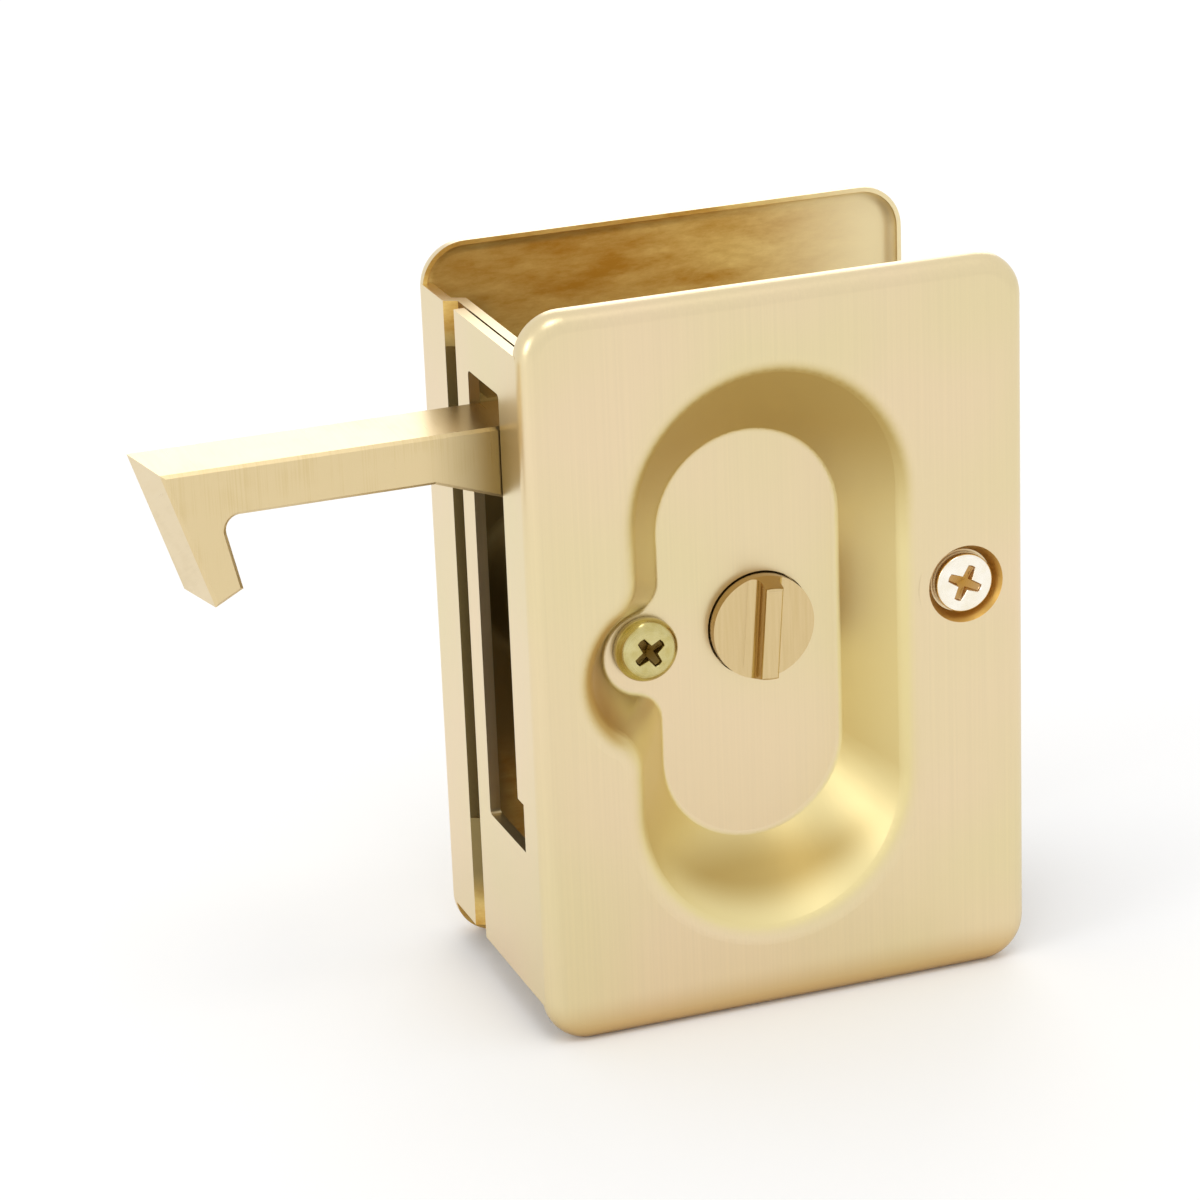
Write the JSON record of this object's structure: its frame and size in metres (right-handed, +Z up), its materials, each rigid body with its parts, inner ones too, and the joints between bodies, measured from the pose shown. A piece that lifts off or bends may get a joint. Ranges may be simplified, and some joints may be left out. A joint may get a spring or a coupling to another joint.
{
  "type": "pocket door lockset",
  "caption": "Adjustable pocket door lockset: two pressed plates with finger cups grip the door's edge, and a thumb turn swings a hook bolt out of it.",
  "frame": {"origin": "centre of the inside plate, on the plane where its rim meets the door's inside face", "axes": "+X along the door away from the hook, +Y through the door to the outside half, +Z up"},
  "size_m": [0.095, 0.0352, 0.0826],
  "materials": {
    "satin_brass": "satin, brushed upright",
    "hook_brass": "satin",
    "turn_brass": "satin",
    "screw_brass": "polished",
    "plate_screw_brass": "bright",
    "post_brass": "turned",
    "works_steel": "plated"
  },
  "bodies": {
    "inside_half": {"inside_plate": "satin_brass", "near_pivot_ear": "works_steel", "far_pivot_ear": "works_steel", "hook_pivot_pin": "works_steel", "turn_retainer": "works_steel", "turn_washer": "works_steel", "stop_pin_out": "works_steel", "stop_pin_in": "works_steel", "left_screw": "screw_brass", "right_screw": "plate_screw_brass"},
    "turn": {"thumb_turn": "turn_brass", "drive_crank": "works_steel", "crank_pin": "works_steel"},
    "link": {"drive_link": "works_steel"},
    "hook": {"hook_bolt": "hook_brass", "hook_tail_pin": "works_steel"},
    "outside_half": {"outside_plate": "satin_brass", "left_post": "post_brass", "right_post": "post_brass", "release_retainer": "works_steel", "release_washer": "works_steel"},
    "release": {"release_turn": "turn_brass"}
  },
  "joints": [
    {"name": "turn_spin", "type": "hinge", "parent": "inside_half", "child": "turn", "pos_m": [0, 0.01, 0.0011], "axis": [0, -1, 0], "range_deg": [0, 90]},
    {"name": "hook_swing", "type": "hinge", "parent": "inside_half", "child": "hook", "pos_m": [-0.024, 0.0103, 0.023], "axis": [0, -1, 0], "range_deg": [0, 90]},
    {"name": "link_swing", "type": "hinge", "parent": "turn", "child": "link", "pos_m": [0.00845, 0.0134, 0.00021], "axis": [0, -1, 0], "range_deg": [-90, 0]},
    {"name": "thickness_slide", "type": "slide", "parent": "inside_half", "child": "outside_half", "axis": [0, 1, 0], "range_m": [0, 0.0145]},
    {"name": "release_spin", "type": "hinge", "parent": "outside_half", "child": "release", "pos_m": [0, 0.023, 0.0011], "axis": [0, -1, 0], "range_deg": [0, 90]}
  ],
  "couplings": [
    {"joint": "hook_swing", "follows": "turn_spin", "ratio": 1},
    {"joint": "link_swing", "follows": "turn_spin", "ratio": -1},
    {"joint": "release_spin", "follows": "turn_spin", "ratio": 1}
  ]
}
